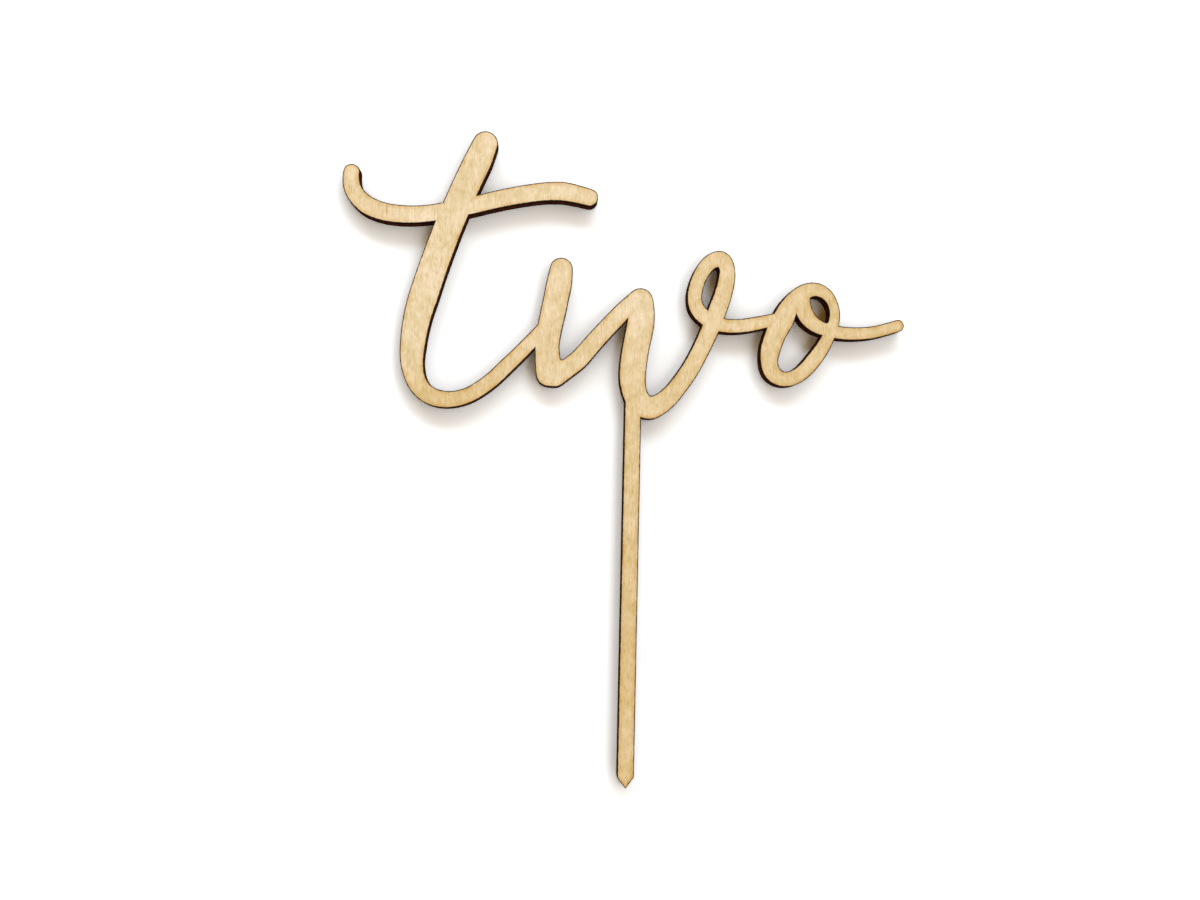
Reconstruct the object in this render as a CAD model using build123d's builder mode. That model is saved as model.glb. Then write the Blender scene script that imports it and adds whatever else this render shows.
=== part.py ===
# Laser-cut plywood cake topper: a number word in brush script on a flat pointed stake.
#
# The topper is one flat blank cut from three-ply sheet, so its pieces are the layers of that sheet:
# a face veneer, a cross-grain core and a back veneer, held together by two thin glue lines.
# The word is drawn as overlapping pen strokes, welded into one outline with the stake.
#
# X runs along the word as it is read, Z runs up the stake, and the face looks along -Y.
# The origin is on the stake's axis, in the middle of the sheet, at the foot of the word,
# which is where the top of the cake comes to when the stake is pushed home.

import os
from itertools import pairwise

from build123d import *

# Word, in millimetres
WORD_WIDTH = 140.0  # from the curl of the crossbar to the end of the tail
WORD_HEIGHT = 70.0  # from the foot of the middle letter to the top of the first
PEN_WIDTH = 7.1  # the pen at full pressure, as on the stem of the first letter
CROOK_RADIUS = 0.45  # where the pen fills the inside of a tight turn
CUT_TOLERANCE = 0.05  # a side that bulges less than this is cut straight

# Stake, in millimetres
STAKE_WIDTH = 4.1
STAKE_LENGTH = 89.6  # from the foot of the word to the tip
STAKE_POINT = 2.7  # length of the cut point at the tip
STAKE_ROOT = 7.0  # how far the stake runs up into the stem that it is welded to

# Layers of the sheet, in millimetres
VENEER_THICKNESS = 0.8  # face and back alike
CORE_THICKNESS = 1.2
GLUE_THICKNESS = 0.1

# The drawing of the word. A node of a stroke is where the middle of the pen is, as shares of the word's
# width and height, and how wide the pen is there, as a share of the full pen.
STAKE_PLACE_SHARE = 0.514  # where the stake's axis stands along the word

T_STEM_SHARES = [
    (0.244, 0.957, 0.87),
    (0.233, 0.900, 0.975),
    (0.1427, 0.400, 1.01),
    (0.1277, 0.215, 0.85),
    (0.1374, 0.110, 0.68),
    (0.159, 0.0658, 0.62),
    (0.187, 0.0522, 0.58),
    (0.230, 0.0732, 0.54),
    (0.2843, 0.1615, 0.54),
    (0.362, 0.330, 0.49),
]

T_BAR_SHARES = [
    (0.0145, 0.836, 0.56),
    (0.0134, 0.812, 0.565),
    (0.0207, 0.766, 0.62),
    (0.046, 0.719, 0.655),
    (0.087, 0.697, 0.64),
    (0.150, 0.7018, 0.605),
    (0.250, 0.7512, 0.625),
    (0.345, 0.7942, 0.655),
    (0.385, 0.7985, 0.68),
    (0.4287, 0.7815, 0.62),
]

W_STEM_SHARES = [
    (0.3825, 0.523, 0.79),
    (0.380, 0.480, 0.89),
    (0.3702, 0.370, 0.885),
    (0.3606, 0.240, 0.85),
    (0.366, 0.1545, 0.94),
]

W_DIAGONAL_SHARES = [
    (0.377, 0.1415, 0.68),
    (0.4186, 0.209, 0.675),
    (0.4907, 0.3763, 0.64),
    (0.5236, 0.420, 0.885),
]

# the second stem, its turn and the upstroke to the top of the loop
W_RISE_SHARES = [
    (0.5236, 0.420, 0.885),
    (0.5247, 0.390, 0.955),
    (0.525, 0.350, 0.965),
    (0.5214, 0.300, 0.965),
    (0.5121, 0.160, 0.945),
    (0.516, 0.0975, 0.88),
    (0.5265, 0.059, 0.87),
    (0.543, 0.0425, 0.835),
    (0.5625, 0.058, 0.74),
    (0.5905, 0.114, 0.655),
    (0.6314, 0.249, 0.625),
    (0.6615, 0.400, 0.67),
    (0.676, 0.500, 0.61),
    (0.677, 0.540, 0.57),
    (0.673, 0.566, 0.60),
]

# the loop from its top, across the upstroke and out to the last letter
W_FALL_SHARES = [
    (0.6615, 0.579, 0.605),
    (0.6465, 0.565, 0.55),
    (0.6306, 0.523, 0.53),
    (0.6215, 0.470, 0.525),
    (0.622, 0.410, 0.54),
    (0.6295, 0.386, 0.56),
    (0.650, 0.3557, 0.57),
    (0.680, 0.341, 0.505),
    (0.720, 0.3482, 0.50),
    (0.765, 0.370, 0.46),
]

O_RING_SHARES = [
    (0.8365, 0.482, 0.51),
    (0.812, 0.4655, 0.58),
    (0.7803, 0.372, 0.80),
    (0.7575, 0.262, 0.72),
    (0.7558, 0.2125, 0.63),
    (0.7623, 0.1782, 0.61),
    (0.784, 0.1572, 0.54),
    (0.8043, 0.1684, 0.535),
    (0.8352, 0.2285, 0.56),
    (0.8653, 0.330, 0.455),
    (0.873, 0.3875, 0.395),
    (0.869, 0.432, 0.385),
    (0.8565, 0.468, 0.44),
]

O_TAIL_SHARES = [
    (0.8125, 0.460, 0.60),
    (0.8135, 0.430, 0.62),
    (0.821, 0.389, 0.63),
    (0.836, 0.356, 0.535),
    (0.860, 0.338, 0.49),
    (0.900, 0.328, 0.465),
    (0.950, 0.338, 0.44),
    (0.989, 0.362, 0.43),
]

# the tight turns that the pen fills: the valley of the middle letter and the eye of the last
CROOK_SHARES = [(0.385, 0.195), (0.828, 0.455), (0.862, 0.363)]


def drawn(x_share, z_share):
    """A point of the drawing, in the plane of the sheet."""
    return Vector((x_share - STAKE_PLACE_SHARE) * WORD_WIDTH, z_share * WORD_HEIGHT)


def pen_path(shares, closed=False):
    """The left side, the right side and the heading of a pen stroke at each of its nodes."""
    nodes = [drawn(x, z) for x, z, width in shares]
    left, right, headings = [], [], []
    for i, (node, (x, z, width)) in enumerate(zip(nodes, shares)):
        arriving = node - nodes[i - 1]
        leaving = nodes[(i + 1) % len(nodes)] - node
        if not closed and i == 0:
            arriving = leaving
        if not closed and i == len(nodes) - 1:
            leaving = arriving
        # the heading of a parabola through the node and its two neighbours
        heading = arriving.normalized() * leaving.length + leaving.normalized() * arriving.length
        heading = heading.normalized()
        across = Vector(-heading.Y, heading.X) * (width * PEN_WIDTH / 2)
        left.append(node + across)
        right.append(node - across)
        headings.append(heading)
    return left, right, headings


def stroke_side(side, headings):
    """One side of a stroke: from each node to the next, an arc as far round as the pen turns."""
    for (a, b), (leaving, arriving) in zip(pairwise(side), pairwise(headings)):
        bulge = (leaving - arriving) * ((b - a).length / 8)
        if bulge.length < CUT_TOLERANCE:
            Line(a, b)
        else:
            ThreePointArc(a, (a + b) / 2 + bulge, b)


def pen_stroke(shares, cut_at=None):
    """An open stroke with round ends, cut across at the node after which it crosses itself."""
    left, right, headings = pen_path(shares)
    last = len(shares) - 1
    cuts = [0, last] if cut_at is None else [0, cut_at, last]
    with BuildSketch() as stroke:
        for first, final in pairwise(cuts):
            span = slice(first, final + 1)
            with BuildLine():
                stroke_side(left[span], headings[span])
                stroke_side(right[span], headings[span])
                for i, way in ((first, -1), (final, 1)):
                    if i == cut_at:
                        Line(left[i], right[i])
                    else:
                        reach = headings[i] * way * ((left[i] - right[i]).length / 2)
                        ThreePointArc(left[i], (left[i] + right[i]) / 2 + reach, right[i])
            make_face()
    return stroke.sketch


def pen_ring(shares):
    """A stroke that closes on itself, drawn against the clock, so its right side is the outer one."""
    inner, outer, headings = pen_path(shares, closed=True)
    with BuildSketch() as ring:
        with BuildLine():
            stroke_side(outer + outer[:1], headings + headings[:1])
        make_face()
        with BuildLine():
            stroke_side(inner + inner[:1], headings + headings[:1])
        make_face(mode=Mode.SUBTRACT)
    return ring.sketch


# The cut line of the whole blank
with BuildSketch(Plane.XZ) as blank:
    for stroke_shares in (T_STEM_SHARES, T_BAR_SHARES, W_STEM_SHARES, W_DIAGONAL_SHARES, O_TAIL_SHARES):
        add(pen_stroke(stroke_shares))
    add(pen_stroke(W_RISE_SHARES + W_FALL_SHARES, cut_at=len(W_RISE_SHARES)))
    add(pen_ring(O_RING_SHARES))
    with BuildLine():
        Polyline(
            (-STAKE_WIDTH / 2, STAKE_ROOT),
            (-STAKE_WIDTH / 2, STAKE_POINT - STAKE_LENGTH),
            (0, -STAKE_LENGTH),
            (STAKE_WIDTH / 2, STAKE_POINT - STAKE_LENGTH),
            (STAKE_WIDTH / 2, STAKE_ROOT),
            close=True,
        )
    make_face()
    crooks = [blank.vertices().sort_by_distance(drawn(*share))[0] for share in CROOK_SHARES]
    fillet(crooks, radius=CROOK_RADIUS)

# The layers of the sheet, from the back to the face
layers = {
    "back_veneer": VENEER_THICKNESS,
    "back_glue_line": GLUE_THICKNESS,
    "core_veneer": CORE_THICKNESS,
    "face_glue_line": GLUE_THICKNESS,
    "face_veneer": VENEER_THICKNESS,
}

os.makedirs("parts", exist_ok=True)
level = -sum(layers.values()) / 2
for name, thickness in layers.items():
    with BuildPart() as layer:
        with BuildSketch(Plane.XZ.offset(level)):
            add(blank.sketch_local)
        extrude(amount=thickness)
    layer.part.label = name
    export_step(layer.part, f"parts/{name}.step")
    level += thickness
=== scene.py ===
import math

import bpy
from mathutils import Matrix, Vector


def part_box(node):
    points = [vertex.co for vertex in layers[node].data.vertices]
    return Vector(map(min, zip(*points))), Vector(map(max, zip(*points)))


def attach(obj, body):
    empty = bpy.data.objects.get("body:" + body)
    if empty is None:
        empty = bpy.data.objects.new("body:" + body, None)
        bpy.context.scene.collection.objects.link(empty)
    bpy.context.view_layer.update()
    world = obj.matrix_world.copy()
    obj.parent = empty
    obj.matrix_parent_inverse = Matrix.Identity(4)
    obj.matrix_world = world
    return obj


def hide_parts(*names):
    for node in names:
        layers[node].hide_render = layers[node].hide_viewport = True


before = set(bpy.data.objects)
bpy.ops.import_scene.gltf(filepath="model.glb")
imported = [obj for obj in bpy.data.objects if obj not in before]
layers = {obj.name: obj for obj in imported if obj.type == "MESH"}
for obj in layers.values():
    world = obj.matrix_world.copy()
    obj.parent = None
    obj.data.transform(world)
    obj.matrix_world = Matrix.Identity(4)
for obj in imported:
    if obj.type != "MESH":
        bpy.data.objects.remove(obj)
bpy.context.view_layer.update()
print("frame: loaded", len(layers), "layers of the sheet")


# small helpers for node trees

def feed(tree, socket, value):
    if isinstance(value, bpy.types.NodeSocket):
        tree.links.new(value, socket)
    else:
        socket.default_value = value


def addNode(tree, kind, inputs=None, **settings):
    node = tree.nodes.new("ShaderNode" + kind)
    for name, value in settings.items():
        setattr(node, name, value)
    for name, value in (inputs or {}).items():
        feed(tree, node.inputs[name], value)
    return node


def noiseAt(tree, vector, size, detail=2.0, roughness=0.5, distortion=0.0):
    # size is how large one blotch is along x, y and z, in metres
    stretch = addNode(tree, "Mapping", {"Vector": vector, "Scale": [1 / s for s in size]})
    noise = addNode(tree, "TexNoise", {
        "Vector": stretch.outputs["Vector"], "Scale": 1.0, "Detail": detail,
        "Roughness": roughness, "Distortion": distortion,
    })
    return noise.outputs["Fac"]


def remap(tree, value, low, high, newLow=0.0, newHigh=1.0, soft=False):
    node = addNode(tree, "MapRange", {
        "Value": value, "From Min": low, "From Max": high, "To Min": newLow, "To Max": newHigh,
    }, interpolation_type="SMOOTHSTEP" if soft else "LINEAR")
    return node.outputs["Result"]


def maths(tree, operation, a, b=0.0, clamp=False):
    node = addNode(tree, "Math", operation=operation, use_clamp=clamp)
    feed(tree, node.inputs[0], a)
    feed(tree, node.inputs[1], b)
    return node.outputs["Value"]


def vectorMaths(tree, operation, a, b=(0.0, 0.0, 0.0)):
    node = addNode(tree, "VectorMath", operation=operation)
    feed(tree, node.inputs[0], a)
    feed(tree, node.inputs[1], b)
    return node.outputs


def spotAt(tree, vector, middle, reach, soft):
    # 1 in the middle of a soft-edged oval patch and 0 outside it
    offset = vectorMaths(tree, "SUBTRACT", vector, middle)["Vector"]
    share = vectorMaths(tree, "DIVIDE", offset, reach)["Vector"]
    away = vectorMaths(tree, "LENGTH", share)["Value"]
    return remap(tree, away, 1.0, 1.0 - soft, soft=True)


def mixColour(tree, amount, a, b, blend="MIX"):
    node = addNode(tree, "Mix", data_type="RGBA", blend_type=blend)
    feed(tree, node.inputs["Factor"], amount)
    feed(tree, node.inputs[6], a)  # the node's colour sockets, after those for values and vectors
    feed(tree, node.inputs[7], b)
    return node.outputs[2]


def newGroup(name, inputs, outputs):
    group = bpy.data.node_groups.new(name, "ShaderNodeTree")
    for label, kind in inputs:
        group.interface.new_socket(label, in_out="INPUT", socket_type=kind)
    for label, kind in outputs:
        group.interface.new_socket(label, in_out="OUTPUT", socket_type=kind)
    start = group.nodes.new("NodeGroupInput")
    end = group.nodes.new("NodeGroupOutput")
    return group, start.outputs, end.inputs


def placeGroup(tree, group, inputs):
    node = tree.nodes.new("ShaderNodeGroup")
    node.node_tree = group
    for name, value in inputs.items():
        feed(tree, node.inputs[name], value)
    return node.outputs


def newMaterial(name):
    material = bpy.data.materials.new(name)
    material.use_nodes = True
    tree = material.node_tree
    objectSpace = addNode(tree, "TexCoord").outputs["Object"]
    return material, tree, tree.nodes["Principled BSDF"], objectSpace


# veneer grain: fibres, short flecks, a fine mottle and a cloudy figure, running up the stake
grainSettings = {
    "fibreSize": (0.00050, 0.00050, 0.0045),
    "fleckSize": (0.00028, 0.00028, 0.0013),
    "mottleSize": (0.0010, 0.0010, 0.0016),
    "figureSize": (0.0036, 0.0036, 0.0046),
    "figureSwirl": 0.8,
    "shares": (0.19, 0.22, 0.29, 0.30),  # fibre, fleck, mottle and figure in the tone
    "spread": (0.28, 0.72),  # levels of a noise that count as darkest and palest
    "pore": (0.38, 0.24),  # levels at which a fleck begins to be a pore, and is one
}
grainGroup, start, end = newGroup(
    "veneerGrain",
    [("Vector", "NodeSocketVector")],
    [("Tone", "NodeSocketFloat"), ("Pore", "NodeSocketFloat"), ("Height", "NodeSocketFloat")])
fibre = noiseAt(grainGroup, start["Vector"], grainSettings["fibreSize"], detail=3.0, roughness=0.6)
fleck = noiseAt(grainGroup, start["Vector"], grainSettings["fleckSize"], detail=1.0)
mottle = noiseAt(grainGroup, start["Vector"], grainSettings["mottleSize"], roughness=0.6)
figure = noiseAt(
    grainGroup, start["Vector"], grainSettings["figureSize"], distortion=grainSettings["figureSwirl"])
tone = 0.0
for noise, share in zip((fibre, fleck, mottle, figure), grainSettings["shares"]):
    level = remap(grainGroup, noise, *grainSettings["spread"])
    tone = maths(grainGroup, "ADD", maths(grainGroup, "MULTIPLY", level, share), tone)
pore = remap(grainGroup, fleck, *grainSettings["pore"], soft=True)
feed(grainGroup, end["Tone"], tone)
feed(grainGroup, end["Pore"], pore)
feed(grainGroup, end["Height"], maths(grainGroup, "SUBTRACT", fibre, pore))

# laser scorch: how far the heat of the cut browned and charred the veneer beside it
scorchSettings = {
    "patchSize": (0.004, 0.004, 0.004),
    "patchSpread": (0.35, 0.65),
    "take": (0.25, 1.35),  # how much of the heat the least and the most toasted patches take
    "raggedSize": (0.0005, 0.0005, 0.0009),
    "raggedSpread": (0.3, 0.7),
    "raggedShift": (-0.06, 0.06),
    "char": (0.80, 0.92),  # heat at which veneer begins to char, and is black
}
scorchGroup, start, end = newGroup(
    "laserScorch",
    [("Vector", "NodeSocketVector"), ("Heat", "NodeSocketFloat")],
    [("Toast", "NodeSocketFloat"), ("Char", "NodeSocketFloat")])
patchy = noiseAt(scorchGroup, start["Vector"], scorchSettings["patchSize"], detail=1.0)
ragged = noiseAt(scorchGroup, start["Vector"], scorchSettings["raggedSize"])
take = remap(scorchGroup, patchy, *scorchSettings["patchSpread"], *scorchSettings["take"])
toast = maths(scorchGroup, "MULTIPLY", start["Heat"], take, clamp=True)
shift = remap(scorchGroup, ragged, *scorchSettings["raggedSpread"], *scorchSettings["raggedShift"])
raggedHeat = maths(scorchGroup, "ADD", start["Heat"], shift)
feed(scorchGroup, end["Toast"], toast)
feed(scorchGroup, end["Char"], remap(scorchGroup, raggedHeat, *scorchSettings["char"], soft=True))

# cut marks: fine lines through the thickness of the sheet, left by the pulses of the beam
cutSettings = {
    "alongBeam": (1.0, 0.12, 1.0),  # draws the marks out through the sheet
    "pulseSize": 0.00016,
    "pulseSpread": (0.3, 0.7),
    "bandSize": 0.0016,
    "bandSpread": (0.35, 0.65),
}
cutGroup, start, end = newGroup(
    "cutMarks",
    [("Vector", "NodeSocketVector")],
    [("Streak", "NodeSocketFloat"), ("Band", "NodeSocketFloat")])
throughSheet = vectorMaths(cutGroup, "MULTIPLY", start["Vector"], cutSettings["alongBeam"])["Vector"]
pulse = noiseAt(cutGroup, throughSheet, [cutSettings["pulseSize"]] * 3, roughness=0.6)
band = noiseAt(cutGroup, throughSheet, [cutSettings["bandSize"]] * 3)
feed(cutGroup, end["Streak"], remap(cutGroup, pulse, *cutSettings["pulseSpread"]))
feed(cutGroup, end["Band"], remap(cutGroup, band, *cutSettings["bandSpread"]))
print("groups: grain, scorch and cut marks ready")


# bare veneer, pale where it is clean, amber beside the cut and black on its rim
def veneerMaterial(name, look):
    material, tree, shader, objectSpace = newMaterial(name)
    shift = addNode(tree, "Mapping", {"Vector": objectSpace, "Location": look["offcut"]})
    sheet = shift.outputs["Vector"]
    grain = placeGroup(tree, grainGroup, {"Vector": sheet})
    heat = addNode(tree, "Attribute", attribute_name="scorch").outputs["Fac"]
    scorch = placeGroup(tree, scorchGroup, {"Vector": sheet, "Heat": heat})

    # from pale to tan over the sheet, in patches; on the face the slope across the sheet is partly the
    # wood's own tone and partly painted shade, tanner where less light falls
    toneAndShade = vectorMaths(tree, "DOT_PRODUCT", objectSpace, look["toneAndShadeSlope"])["Value"]
    cloud = noiseAt(tree, sheet, look["driftSize"], detail=1.0, roughness=0.4)
    cloud = remap(tree, cloud, *look["driftSpread"], *look["driftTan"])
    drift = maths(tree, "ADD", toneAndShade, cloud)
    for patch in look["patches"]:
        spot = spotAt(tree, objectSpace, patch["at"], patch["reach"], patch["soft"])
        drift = maths(tree, "ADD", drift, maths(tree, "MULTIPLY", spot, patch["tan"]))
    wood = mixColour(tree, maths(tree, "ADD", drift, clamp=True), look["pale"], look["tan"])

    # grain, pores and single dark lines
    tint = mixColour(tree, grain["Tone"], look["shade"], look["light"])
    wood = mixColour(tree, 1.0, wood, tint, blend="MULTIPLY")
    wood = mixColour(tree, maths(tree, "MULTIPLY", grain["Pore"], look["pore"]), wood, look["poreColour"])
    for streak in look["streaks"]:
        line = spotAt(tree, objectSpace, streak["at"], streak["reach"], streak["soft"])
        wood = mixColour(tree, maths(tree, "MULTIPLY", line, streak["dark"]), wood, look["poreColour"])

    # scorch over all of it
    wood = mixColour(tree, scorch["Toast"], wood, look["amber"], blend="MULTIPLY")
    wood = mixColour(tree, scorch["Char"], wood, look["char"])
    feed(tree, shader.inputs["Base Color"], wood)
    roughness = remap(tree, grain["Tone"], *look["roughSpread"], *look["rough"])
    feed(tree, shader.inputs["Roughness"], roughness)
    feed(tree, shader.inputs["Specular IOR Level"], look["shine"])
    bump = addNode(tree, "Bump", {
        "Height": grain["Height"], "Strength": look["bump"], "Distance": look["fibreDepth"],
    })
    feed(tree, shader.inputs["Normal"], bump.outputs["Normal"])
    return material


faceLook = {
    "offcut": (0.0, 0.0, 0.0),  # where in the grain the blank was cut
    "pale": (0.840, 0.665, 0.410, 1.0),
    "tan": (0.735, 0.535, 0.255, 1.0),
    "light": (1.22, 1.28, 1.62, 1.0),
    "shade": (0.77, 0.71, 0.42, 1.0),
    "toneAndShadeSlope": (5.4, 0.0, -4.2),  # paler at one corner of the sheet than at the other: partly the wood's own tone, partly painted shade, tanner towards the right and the stake where less light falls
    "driftSize": (0.012, 0.012, 0.020),
    "driftSpread": (0.3, 0.7),
    "driftTan": (0.42, 0.70),
    "patches": [
        # turn of the first letter
        {"at": (-0.047, 0.0, 0.003), "reach": (0.020, 1.0, 0.014), "soft": 0.7, "tan": 0.65},
        # middle of the stake
        {"at": (0.0, 0.0, -0.050), "reach": (0.010, 1.0, 0.0215), "soft": 0.12, "tan": 0.25},
        # top of the second stem
        {"at": (0.0, 0.0, 0.028), "reach": (0.012, 1.0, 0.012), "soft": 0.8, "tan": -0.4},
        # first stem
        {"at": (-0.047, 0.0, 0.044), "reach": (0.014, 1.0, 0.020), "soft": 0.8, "tan": -0.15},
        # end of the bar and middle letter
        {"at": (-0.022, 0.0, 0.045), "reach": (0.018, 1.0, 0.030), "soft": 0.8, "tan": -0.2},
        # curl of the bar
        {"at": (-0.066, 0.0, 0.052), "reach": (0.016, 1.0, 0.016), "soft": 0.8, "tan": 0.45},
    ],
    "streaks": [
        # across the bar
        {"at": (-0.0612, 0.0, 0.0500), "reach": (0.00030, 1.0, 0.0030), "soft": 0.8, "dark": 0.55},
    ],
    "poreColour": (0.52, 0.29, 0.085, 1.0),
    "pore": 0.30,
    "amber": (0.89, 0.74, 0.47, 1.0),
    "char": (0.030, 0.013, 0.005, 1.0),
    "roughSpread": (0.2, 0.8),
    "rough": (0.72, 0.58),  # in the darkest and the palest grain
    "shine": 0.12,
    "bump": 0.25,
    "fibreDepth": 0.00004,
}
backLook = {
    **faceLook,
    "offcut": (0.31, 0.0, 0.17),
    "toneAndShadeSlope": (-4.0, 0.0, 3.0),
    "patches": [],
    "streaks": [],
}
faceWood = veneerMaterial("faceWood", faceLook)
backWood = veneerMaterial("backWood", backLook)

# burnt cut edge: soot with browner lines where the beam pulsed
burntEdge = {
    "smoother": 0.2,  # how much less rough a streak is
    "shine": 0.0,  # soot doesn't shine
    "bump": 0.5,
    "markDepth": 0.00005,
}


def cutEdgeMaterial(name, look):
    material, tree, shader, objectSpace = newMaterial(name)
    marks = placeGroup(tree, cutGroup, {"Vector": objectSpace})
    streak = maths(tree, "MULTIPLY", marks["Streak"], look["streak"])
    burnt = mixColour(tree, streak, look["soot"], look["brown"])
    band = maths(tree, "MULTIPLY", marks["Band"], look["band"])
    burnt = mixColour(tree, band, burnt, look["ember"])
    feed(tree, shader.inputs["Base Color"], burnt)
    smoothest = look["matt"] - burntEdge["smoother"]
    feed(tree, shader.inputs["Roughness"], remap(tree, marks["Streak"], 0.0, 1.0, look["matt"], smoothest))
    feed(tree, shader.inputs["Specular IOR Level"], burntEdge["shine"])
    bump = addNode(tree, "Bump", {
        "Height": marks["Streak"], "Strength": burntEdge["bump"], "Distance": burntEdge["markDepth"],
    })
    feed(tree, shader.inputs["Normal"], bump.outputs["Normal"])
    return material


veneerEdge = cutEdgeMaterial("veneerCutEdge", {
    "soot": (0.004, 0.001, 0.001, 1.0),
    "brown": (0.012, 0.004, 0.003, 1.0),
    "ember": (0.022, 0.007, 0.004, 1.0),
    "streak": 0.7, "band": 0.3, "matt": 0.95})
coreEdge = cutEdgeMaterial("coreCutEdge", {
    "soot": (0.012, 0.003, 0.002, 1.0),
    "brown": (0.060, 0.014, 0.008, 1.0),
    "ember": (0.090, 0.026, 0.012, 1.0),
    "streak": 0.8, "band": 0.45, "matt": 0.9})
glueEdge = cutEdgeMaterial("glueCutEdge", {
    "soot": (0.002, 0.001, 0.001, 1.0),
    "brown": (0.006, 0.003, 0.002, 1.0),
    "ember": (0.010, 0.005, 0.003, 1.0),
    "streak": 0.6, "band": 0.3, "matt": 0.85})
print("materials: veneers, burnt edges and glue ready")


# small helpers for edit mode

selectModes = {"polygons": "FACE", "edges": "EDGE", "vertices": "VERT"}
sameLevel = 1e-6  # metres: places this close through the thickness are on one level


def selectOnly(mesh, kind, wanted):
    # ends in edit mode, with just those faces, edges or vertices selected that are wanted
    bpy.ops.object.mode_set(mode="EDIT")
    bpy.ops.mesh.select_mode(type=selectModes[kind])
    bpy.ops.mesh.select_all(action="DESELECT")
    bpy.ops.object.mode_set(mode="OBJECT")
    for item in getattr(mesh, kind):
        item.select = wanted(item)
    bpy.ops.object.mode_set(mode="EDIT")


def isWall(polygon):
    # a cut wall stands across the sheet, and a flat side lies along it
    return abs(polygon.normal.y) < 0.5


def looksAlong(polygon, way):
    # whether a flat side looks along +y, for a way of 1, or along -y, for a way of -1
    return polygon.normal.y * way > 0.999


def atLevel(mesh, v, level):
    return abs(mesh.vertices[v].co.y - level) < sameLevel


# the cut line of a layer, faired: the strokes of the solid turn by a few degrees at some of their nodes
fairing = {
    "weld": 1e-7,
    "flat": 0.5,  # degrees: faces that turn by less are joined
    "halvings": 9,  # how often a long edge is halved at most
    "step": 0.0008,  # longest edge left along the cut line
    "fine": 0.00012,  # shorter edges, as in tight turns, stay where they are
    "corner": 24.5,  # degrees from which a corner is meant, and stays too
    "passes": 120,
    "smooth": 0.6,
    "restore": -0.615,  # gives back what smoothing shrinks
}


def cutLength(mesh, meshEdge):
    # how long an edge of the word's cut line is, and 0 for edges across the sheet and on the straight stake
    a, b = (mesh.vertices[v].co for v in meshEdge.vertices)
    onWord = min(a.z, b.z) > 0 and abs(a.y - b.y) < sameLevel
    return (a - b).length if onWord else 0.0


def fairedCopy(name, layer):
    piece = bpy.data.objects.new(name, layers[layer].data.copy())
    bpy.context.collection.objects.link(piece)
    bpy.ops.object.select_all(action="DESELECT")
    piece.select_set(True)
    bpy.context.view_layer.objects.active = piece
    mesh = piece.data
    bpy.ops.object.mode_set(mode="EDIT")
    bpy.ops.mesh.select_mode(type="FACE")
    bpy.ops.mesh.select_all(action="SELECT")
    bpy.ops.mesh.remove_doubles(threshold=fairing["weld"])
    bpy.ops.mesh.customdata_custom_splitnormals_clear()
    bpy.ops.mesh.dissolve_limited(angle_limit=math.radians(fairing["flat"]))

    # only the walls stay while their line is cut into short steps and faired
    selectOnly(mesh, "polygons", lambda polygon: not isWall(polygon))
    bpy.ops.mesh.delete(type="FACE")
    for halving in range(fairing["halvings"]):
        selectOnly(mesh, "edges", lambda e: cutLength(mesh, e) > fairing["step"])
        bpy.ops.mesh.subdivide(number_cuts=1)

    # corners that are meant and fine edges are kept, and the rest is smoothed in the plane of the sheet
    bpy.ops.mesh.select_all(action="DESELECT")
    bpy.ops.mesh.edges_select_sharp(sharpness=math.radians(fairing["corner"]))
    bpy.ops.object.mode_set(mode="OBJECT")
    kept = [e for e in mesh.edges if e.select or 0 < cutLength(mesh, e) < fairing["fine"]]
    kept = {v for e in kept for v in e.vertices}
    selectOnly(mesh, "vertices", lambda vertex: vertex.index not in kept)
    for turn in range(fairing["passes"]):
        for factor in (fairing["smooth"], fairing["restore"]):
            bpy.ops.mesh.vertices_smooth(factor=factor, repeat=1, xaxis=True, yaxis=False, zaxis=True)

    # the two flat sides again
    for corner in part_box(layer):
        selectOnly(mesh, "edges", lambda e: all(atLevel(mesh, v, corner.y) for v in e.vertices))
        bpy.ops.mesh.fill()
    bpy.ops.mesh.select_all(action="SELECT")
    bpy.ops.mesh.normals_make_consistent(inside=False)
    bpy.ops.mesh.select_all(action="DESELECT")
    bpy.ops.object.mode_set(mode="OBJECT")
    return piece


smoothUnder = 38  # degrees between two faces that are shaded as one


def finishPiece(piece, layer):
    bpy.ops.object.shade_smooth_by_angle(angle=math.radians(smoothUnder))
    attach(piece, "root")
    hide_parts(layer)
    print("piece:", piece.name, len(piece.data.polygons), "faces")


# outer plies: the rim eased and rings of scorch let into the clean side
def outerPly(name, ply):
    piece = fairedCopy(name, ply["layer"])
    mesh = piece.data
    outside = ply["faces"]  # -1 where the clean side looks along -y, 1 along +y
    low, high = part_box(ply["layer"])
    level = low.y if outside < 0 else high.y

    # everything but the clean side starts as hot as the cut itself
    heat = mesh.attributes.new("scorch", "FLOAT", "POINT")
    for item in heat.data:
        item.value = 1.0
    selectOnly(mesh, "polygons", lambda polygon: looksAlong(polygon, outside))
    for width, warmth in [(ply["rimEase"], 1.0)] + ply["scorchRings"]:
        bpy.ops.object.mode_set(mode="EDIT")
        bpy.ops.mesh.inset(thickness=width, use_boundary=True, use_even_offset=True)
        bpy.ops.object.mode_set(mode="OBJECT")
        inside = {v for polygon in mesh.polygons if polygon.select for v in polygon.vertices}
        for v in inside:
            mesh.attributes["scorch"].data[v].value = warmth

    # the rim, where a wall meets the clean side, eased
    walls = [polygon for polygon in mesh.polygons if isWall(polygon)]
    for v in {v for wall in walls for v in wall.vertices if atLevel(mesh, v, level)}:
        mesh.vertices[v].co.y -= outside * ply["rimEase"]

    mesh.materials.clear()
    mesh.materials.append(ply["wood"])
    mesh.materials.append(veneerEdge)
    for polygon in mesh.polygons:
        polygon.material_index = 1 if isWall(polygon) else 0
    finishPiece(piece, ply["layer"])


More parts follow.
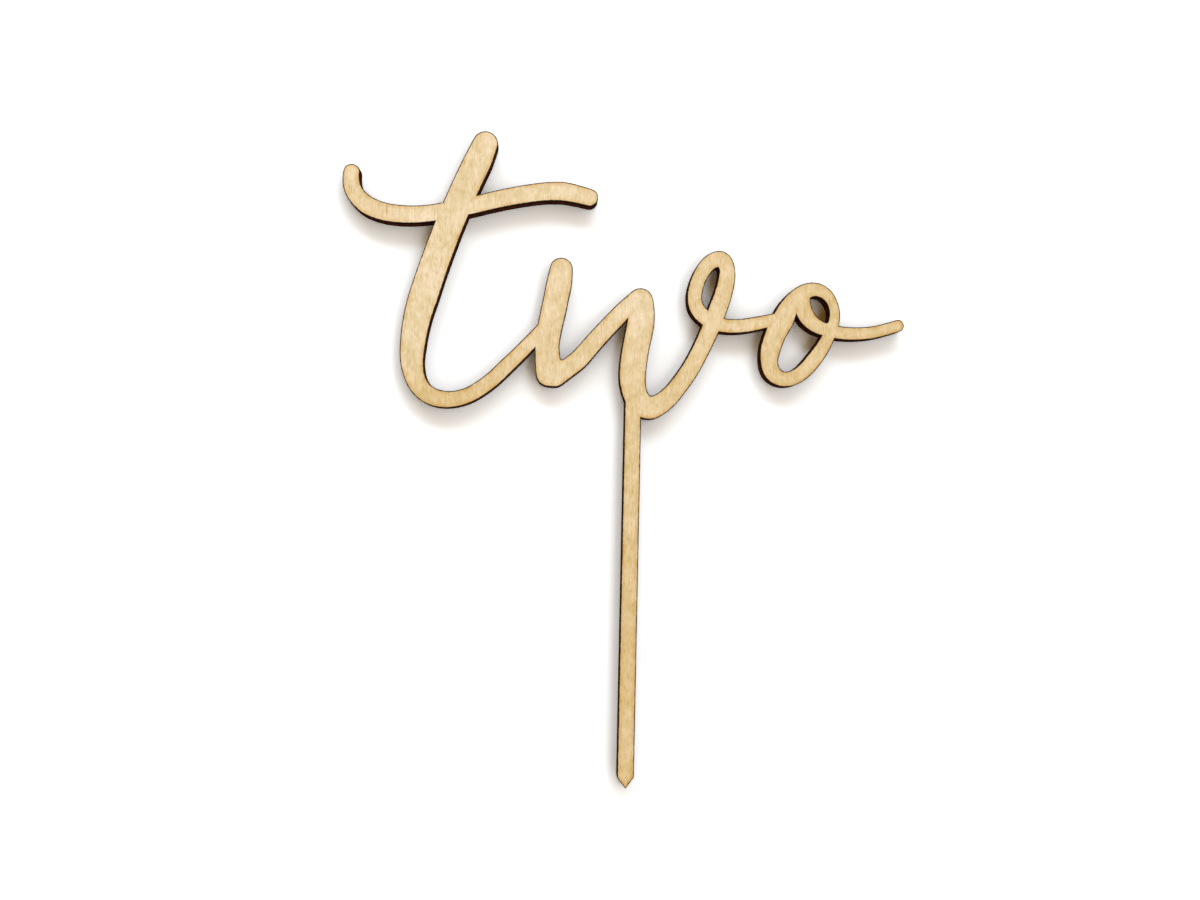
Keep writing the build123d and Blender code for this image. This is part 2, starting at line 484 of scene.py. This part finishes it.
facePly = {
    "layer": "face_veneer",
    "slot": "face_wood",
    "wood": faceWood,
    "faces": -1,
    "rimEase": 0.00006,
    "scorchRings": [  # width of each ring, and the warmth at its inner side
        (0.00011, 0.93), (0.00014, 0.78), (0.00026, 0.54), (0.00032, 0.26), (0.00036, 0.0)],
}
backPly = {
    "layer": "back_veneer",
    "slot": "back_wood",
    "wood": backWood,
    "faces": 1,
    "rimEase": 0.00006,
    "scorchRings": [(0.00014, 0.93), (0.00018, 0.78), (0.00026, 0.55), (0.00032, 0.25), (0.00036, 0.0)],
}
outerPly("faceVeneer", facePly)
outerPly("backVeneer", backPly)

# core and glue lines: only their cut edges show
innerLayers = {
    "faceGlueLine": {"layer": "face_glue_line", "slot": "glue", "finish": glueEdge},
    "coreVeneer": {"layer": "core_veneer", "slot": "core_wood", "finish": coreEdge},
    "backGlueLine": {"layer": "back_glue_line", "slot": "glue", "finish": glueEdge},
}
for name, inner in innerLayers.items():
    piece = fairedCopy(name, inner["layer"])
    piece.data.materials.clear()
    piece.data.materials.append(inner["finish"])
    finishPiece(piece, inner["layer"])

# table: white, seen from its upper side only, so the back of the sheet can be looked at too
table = {"size": 20.0, "gap": 0.00005, "white": (1.28, 1.28, 1.28, 1.0)}
bpy.ops.object.select_all(action="DESELECT")
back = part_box("back_veneer")[1].y
bpy.ops.mesh.primitive_plane_add(
    size=table["size"], location=(0, back + table["gap"], 0), rotation=(math.radians(90), 0, 0))
tableTop = bpy.context.active_object
tableTop.name = "tableTop"
tableTop.visible_diffuse = False  # it neither lights nor shades the topper
tableTop.visible_glossy = False
tableTop.visible_shadow = False
tableTop.visible_transmission = False
tableWhite = bpy.data.materials.new("tableWhite")
tableWhite.use_nodes = True
tree = tableWhite.node_tree
tree.nodes.remove(tree.nodes["Principled BSDF"])
sided = addNode(tree, "MixShader", {"Fac": addNode(tree, "NewGeometry").outputs["Backfacing"]})
feed(tree, sided.inputs[1], addNode(tree, "BsdfDiffuse", {"Color": table["white"]}).outputs["BSDF"])
feed(tree, sided.inputs[2], addNode(tree, "BsdfTransparent").outputs["BSDF"])
feed(tree, tree.nodes["Material Output"].inputs["Surface"], sided.outputs["Shader"])
tableTop.data.materials.append(tableWhite)
print("stage: table top ready")

# a wide, low window beyond the top of the word
window = {
    "at": (-0.232, -0.864, 1.789),
    "wide": 3.1,
    "tall": 0.5,
    "watts": 44.0,
    "tint": (0.80, 0.90, 1.0),
}
bpy.ops.object.light_add(type="AREA", location=window["at"])
windowLamp = bpy.context.active_object
windowLamp.name = "windowLamp"
windowLamp.data.shape = "RECTANGLE"
windowLamp.data.size = window["wide"]
windowLamp.data.size_y = window["tall"]
windowLamp.data.energy = window["watts"]
windowLamp.data.color = window["tint"]
windowLamp.rotation_euler = windowLamp.location.to_track_quat("Z", "Y").to_euler()

# a bright white room, with parts of it in other colours
room = {
    "walls": (1.0, 1.0, 1.0, 1.0),  # as the camera and reflections see them
    "bright": (1.46, 1.48, 1.49, 1.0),
    "parts": [  # cosines are those of the angles from way at which a colour begins and is full
        # dull towards the foot of the picture
        {"colour": (0.40, 0.42, 0.40, 1.0), "way": (-0.174, 0.0, -0.985), "cosines": (0.42, 1.0)},
        # dim and warm where the camera hangs over the table
        {"colour": (0.21, 0.11, 0.005, 1.0), "way": (-0.342, -0.937, 0.073), "cosines": (0.66, 0.71)},
        # even behind the sheet
        {"colour": (1.04, 1.04, 1.04, 1.0), "way": (0.0, 1.0, 0.0), "cosines": (0.0, 0.1)},
    ],
}
world = bpy.data.worlds.new("whiteRoom")
bpy.context.scene.world = world
world.use_nodes = True
tree = world.node_tree
outwards = addNode(tree, "TexCoord").outputs["Generated"]
light = room["bright"]
for part in room["parts"]:
    lean = vectorMaths(tree, "DOT_PRODUCT", outwards, part["way"])["Value"]
    light = mixColour(tree, remap(tree, lean, *part["cosines"], soft=True), light, part["colour"])
ray = addNode(tree, "LightPath").outputs
direct = maths(tree, "ADD", ray["Is Camera Ray"], ray["Is Glossy Ray"], clamp=True)
direct = maths(tree, "ADD", direct, ray["Is Transmission Ray"], clamp=True)
feed(tree, tree.nodes["Background"].inputs["Color"], mixColour(tree, direct, light, room["walls"]))
print("light: window and room ready")

# camera above the table, as the photograph was taken
shot = {
    "at": (-0.02097, -0.21330, -0.01560),
    "turn": (92.127, -1.250, -3.575),  # degrees
    "focal": 26.01,
    "sensor": 36.0,
    "nearest": 0.01,
}
bpy.ops.object.camera_add(location=shot["at"], rotation=[math.radians(angle) for angle in shot["turn"]])
camera = bpy.context.active_object
camera.name = "photoCamera"
camera.data.sensor_width = shot["sensor"]
camera.data.lens = shot["focal"]
camera.data.clip_start = shot["nearest"]
bpy.context.scene.camera = camera
bpy.context.scene.view_settings.view_transform = "Standard"
print("camera: set")
